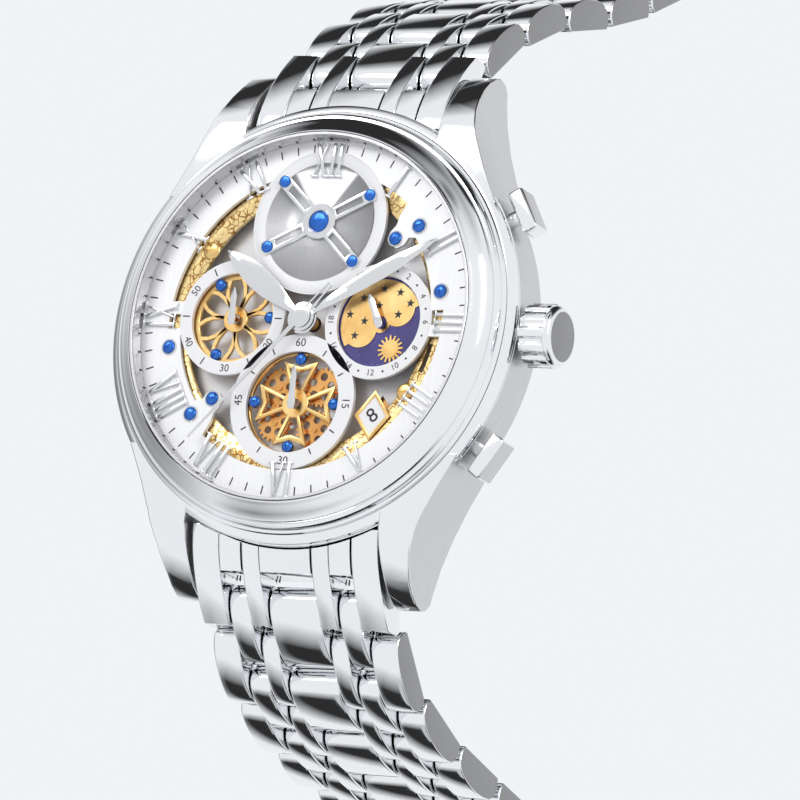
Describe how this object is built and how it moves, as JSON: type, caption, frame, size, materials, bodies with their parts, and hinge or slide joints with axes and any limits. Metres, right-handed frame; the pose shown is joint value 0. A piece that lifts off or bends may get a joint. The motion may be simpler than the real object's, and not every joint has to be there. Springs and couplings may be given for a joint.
{
  "type": "skeleton wristwatch",
  "caption": "Round skeleton chronograph wristwatch with gilt movement, day-night disc, blued screws, crown, two pushers and seven-column steel bracelet with folding clasp.",
  "frame": {"origin": "centre of the case back's outer face", "axes": "+Y out of the case back, +Z towards 12 o'clock, +X towards the crown at 3 o'clock; the dial faces -Y"},
  "size_m": [0.0459, 0.0925, 0.1212],
  "materials": {
    "polished_steel": "mirror polished",
    "brushed_steel": "fine brushed",
    "glass": "clear",
    "gasket": "matt",
    "silver_plate": "satin silver plate",
    "dial_silver": "fine-lined silver white",
    "night_enamel": "gloss enamel",
    "gilt": "satin gilt",
    "blued_steel": "polished blue",
    "black_print": "printed black"
  },
  "bodies": {
    "case": {"case_middle": "brushed_steel", "bezel": "polished_steel", "crystal": "glass", "crystal_gasket": "gasket", "inner_flange": "silver_plate", "case_back_ring": "brushed_steel", "case_back_window": "glass", "case_back_gasket": "gasket", "crown_tube": "brushed_steel", "dial_plate": "dial_silver", "balance_bridge": "polished_steel", "engraved_ring": "gilt", "left_window_bridge": "gilt", "lower_window_bridge": "gilt", "date_frame": "gilt", "base_plate": "silver_plate", "main_plate": "gilt", "movement_ring": "silver_plate", "train_bridge": "gilt", "hairspring": "gilt", "end_link_12": "polished_steel", "end_link_6": "polished_steel"},
    "minute_hand": {"minute_hand": "polished_steel"},
    "hour_hand": {"hour_hand": "polished_steel"},
    "day_night": {"day_night_disc": "night_enamel", "day_night_hand": "polished_steel"},
    "date_ring": {"date_ring": "silver_plate"},
    "fourth_wheel": {"fourth_wheel": "gilt", "small_seconds_hand": "polished_steel"},
    "third_wheel": {"third_wheel": "gilt"},
    "center_wheel": {"center_wheel": "gilt"},
    "barrel": {"barrel": "gilt"},
    "escape_wheel": {"escape_wheel": "brushed_steel"},
    "chrono_seconds_hand": {"chrono_seconds_hand": "polished_steel"},
    "chrono_minute_hand": {"chrono_minute_hand": "polished_steel"},
    "balance_wheel": {"balance_wheel": "gilt"},
    "pallet_fork": {"pallet_fork": "brushed_steel"},
    "rotor": {"rotor": "brushed_steel"},
    "winding_stem": {"winding_stem": "brushed_steel"},
    "crown": {"crown": "polished_steel"},
    "pusher_upper": {"pusher_upper": "polished_steel"},
    "pusher_lower": {"pusher_lower": "polished_steel"},
    "bracelet_12_row_1": {"bracelet_12_row_1": "polished_steel"},
    "bracelet_12_row_2": {"bracelet_12_row_2": "polished_steel"},
    "bracelet_12_row_3": {"bracelet_12_row_3": "polished_steel"},
    "bracelet_12_row_4": {"bracelet_12_row_4": "polished_steel"},
    "bracelet_12_row_5": {"bracelet_12_row_5": "polished_steel"},
    "bracelet_12_row_6": {"bracelet_12_row_6": "polished_steel"},
    "bracelet_12_row_7": {"bracelet_12_row_7": "polished_steel"},
    "bracelet_6_row_1": {"bracelet_6_row_1": "polished_steel"},
    "bracelet_6_row_2": {"bracelet_6_row_2": "polished_steel"},
    "bracelet_6_row_3": {"bracelet_6_row_3": "polished_steel"},
    "bracelet_6_row_4": {"bracelet_6_row_4": "polished_steel"},
    "bracelet_6_row_5": {"bracelet_6_row_5": "polished_steel"},
    "bracelet_6_row_6": {"bracelet_6_row_6": "polished_steel"},
    "bracelet_6_row_7": {"bracelet_6_row_7": "polished_steel"},
    "clasp_cover": {"clasp_cover": "brushed_steel"},
    "clasp_outer_blade": {"clasp_outer_blade": "polished_steel"},
    "clasp_inner_blade": {"clasp_inner_blade": "polished_steel"}
  },
  "joints": [
    {"name": "minute_turn", "type": "hinge", "parent": "case", "child": "minute_hand", "pos_m": [0, -0.0096, 0], "axis": [0, 1, 0], "continuous": true},
    {"name": "hour_turn", "type": "hinge", "parent": "case", "child": "hour_hand", "pos_m": [0, -0.0096, 0], "axis": [0, 1, 0], "continuous": true},
    {"name": "day_night_turn", "type": "hinge", "parent": "case", "child": "day_night", "pos_m": [0.0077, -0.0096, 0], "axis": [0, 1, 0], "continuous": true},
    {"name": "date_turn", "type": "hinge", "parent": "case", "child": "date_ring", "pos_m": [0, -0.0096, 0], "axis": [0, 1, 0], "continuous": true},
    {"name": "seconds_turn", "type": "hinge", "parent": "case", "child": "fourth_wheel", "pos_m": [-0.00765, -0.0096, 0], "axis": [0, 1, 0], "continuous": true},
    {"name": "third_turn", "type": "hinge", "parent": "case", "child": "third_wheel", "pos_m": [-0.00428, -0.0096, -0.00377], "axis": [0, 1, 0], "continuous": true},
    {"name": "center_turn", "type": "hinge", "parent": "case", "child": "center_wheel", "pos_m": [0, -0.0096, 0], "axis": [0, 1, 0], "continuous": true},
    {"name": "barrel_turn", "type": "hinge", "parent": "case", "child": "barrel", "pos_m": [0.0062, -0.0096, 0.00226], "axis": [0, 1, 0], "continuous": true},
    {"name": "escape_turn", "type": "hinge", "parent": "case", "child": "escape_wheel", "pos_m": [-0.0043, -0.0096, 0.0041], "axis": [0, 1, 0], "continuous": true},
    {"name": "chrono_turn", "type": "hinge", "parent": "case", "child": "chrono_seconds_hand", "pos_m": [0, -0.0096, 0], "axis": [0, 1, 0], "continuous": true},
    {"name": "chrono_minute_turn", "type": "hinge", "parent": "case", "child": "chrono_minute_hand", "pos_m": [0, -0.0096, -0.00784], "axis": [0, 1, 0], "continuous": true},
    {"name": "balance_swing", "type": "hinge", "parent": "case", "child": "balance_wheel", "pos_m": [0, -0.0096, 0.0093], "axis": [0, 1, 0], "range_deg": [-120, 120], "stiffness_Nm_per_rad": 0.0000014},
    {"name": "pallet_swing", "type": "hinge", "parent": "case", "child": "pallet_fork", "pos_m": [-0.00226, -0.0096, 0.00656], "axis": [0, 1, 0], "range_deg": [-6, 6]},
    {"name": "rotor_turn", "type": "hinge", "parent": "case", "child": "rotor", "pos_m": [0, -0.0096, 0], "axis": [0, 1, 0], "continuous": true},
    {"name": "stem_pull", "type": "slide", "parent": "case", "child": "winding_stem", "axis": [1, 0, 0], "range_m": [0, 0.0012]},
    {"name": "crown_turn", "type": "hinge", "parent": "winding_stem", "child": "crown", "pos_m": [0.023, -0.0057, 0], "axis": [1, 0, 0], "continuous": true},
    {"name": "pusher_upper_press", "type": "slide", "parent": "case", "child": "pusher_upper", "axis": [-0.8572, 0, -0.515], "range_m": [0, 0.0006], "stiffness_N_per_m": 800},
    {"name": "pusher_lower_press", "type": "slide", "parent": "case", "child": "pusher_lower", "axis": [-0.8572, 0, 0.515], "range_m": [0, 0.0006], "stiffness_N_per_m": 800},
    {"name": "row_12_1_bend", "type": "hinge", "parent": "case", "child": "bracelet_12_row_1", "pos_m": [0, -0.002, 0.0256], "axis": [1, 0, 0], "range_deg": [-12, 10]},
    {"name": "row_12_2_bend", "type": "hinge", "parent": "bracelet_12_row_1", "child": "bracelet_12_row_2", "pos_m": [0, 0.00441, 0.03148], "axis": [1, 0, 0], "range_deg": [-12, 10]},
    {"name": "row_12_3_bend", "type": "hinge", "parent": "bracelet_12_row_2", "child": "bracelet_12_row_3", "pos_m": [0, 0.01195, 0.03583], "axis": [1, 0, 0], "range_deg": [-12, 10]},
    {"name": "row_12_4_bend", "type": "hinge", "parent": "bracelet_12_row_3", "child": "bracelet_12_row_4", "pos_m": [0, 0.02017, 0.03866], "axis": [1, 0, 0], "range_deg": [-12, 10]},
    {"name": "row_12_5_bend", "type": "hinge", "parent": "bracelet_12_row_4", "child": "bracelet_12_row_5", "pos_m": [0, 0.02812, 0.0422], "axis": [1, 0, 0], "range_deg": [-12, 10]},
    {"name": "row_12_6_bend", "type": "hinge", "parent": "bracelet_12_row_5", "child": "bracelet_12_row_6", "pos_m": [0, 0.03566, 0.04655], "axis": [1, 0, 0], "range_deg": [-12, 10]},
    {"name": "row_12_7_bend", "type": "hinge", "parent": "bracelet_12_row_6", "child": "bracelet_12_row_7", "pos_m": [0, 0.04295, 0.05129], "axis": [1, 0, 0], "range_deg": [-12, 10]},
    {"name": "row_6_1_bend", "type": "hinge", "parent": "case", "child": "bracelet_6_row_1", "pos_m": [0, -0.002, -0.0256], "axis": [1, 0, 0], "range_deg": [-10, 12]},
    {"name": "row_6_2_bend", "type": "hinge", "parent": "bracelet_6_row_1", "child": "bracelet_6_row_2", "pos_m": [0, 0.00415, -0.03175], "axis": [1, 0, 0], "range_deg": [-10, 12]},
    {"name": "row_6_3_bend", "type": "hinge", "parent": "bracelet_6_row_2", "child": "bracelet_6_row_3", "pos_m": [0, 0.01227, -0.03487], "axis": [1, 0, 0], "range_deg": [-10, 12]},
    {"name": "row_6_4_bend", "type": "hinge", "parent": "bracelet_6_row_3", "child": "bracelet_6_row_4", "pos_m": [0, 0.02081, -0.03653], "axis": [1, 0, 0], "range_deg": [-10, 12]},
    {"name": "row_6_5_bend", "type": "hinge", "parent": "bracelet_6_row_4", "child": "bracelet_6_row_5", "pos_m": [0, 0.02938, -0.03804], "axis": [1, 0, 0], "range_deg": [-10, 12]},
    {"name": "row_6_6_bend", "type": "hinge", "parent": "bracelet_6_row_5", "child": "bracelet_6_row_6", "pos_m": [0, 0.03795, -0.03955], "axis": [1, 0, 0], "range_deg": [-10, 12]},
    {"name": "row_6_7_bend", "type": "hinge", "parent": "bracelet_6_row_6", "child": "bracelet_6_row_7", "pos_m": [0, 0.04652, -0.04106], "axis": [1, 0, 0], "range_deg": [-10, 12]},
    {"name": "clasp_cover_bend", "type": "hinge", "parent": "bracelet_12_row_7", "child": "clasp_cover", "pos_m": [0, 0.05008, 0.05628], "axis": [1, 0, 0], "range_deg": [-12, 10]},
    {"name": "outer_blade_fold", "type": "hinge", "parent": "clasp_cover", "child": "clasp_outer_blade", "pos_m": [0, 0.07868, 0.07471], "axis": [1, 0, 0], "range_deg": [0, 150]},
    {"name": "inner_blade_fold", "type": "hinge", "parent": "clasp_outer_blade", "child": "clasp_inner_blade", "pos_m": [0, 0.05555, 0.05718], "axis": [-1, 0, 0], "range_deg": [0, 150]}
  ],
  "couplings": [
    {"joint": "hour_turn", "follows": "minute_turn", "ratio": 0.083333},
    {"joint": "day_night_turn", "follows": "minute_turn", "ratio": 0.041667},
    {"joint": "date_turn", "follows": "minute_turn", "ratio": 0.0013441},
    {"joint": "third_turn", "follows": "seconds_turn", "ratio": -0.13333},
    {"joint": "center_turn", "follows": "seconds_turn", "ratio": 0.016667},
    {"joint": "barrel_turn", "follows": "seconds_turn", "ratio": -0.0027778},
    {"joint": "escape_turn", "follows": "seconds_turn", "ratio": -10},
    {"joint": "chrono_minute_turn", "follows": "chrono_turn", "ratio": 0.016667},
    {"joint": "pallet_swing", "follows": "balance_swing", "ratio": 0.05}
  ]
}
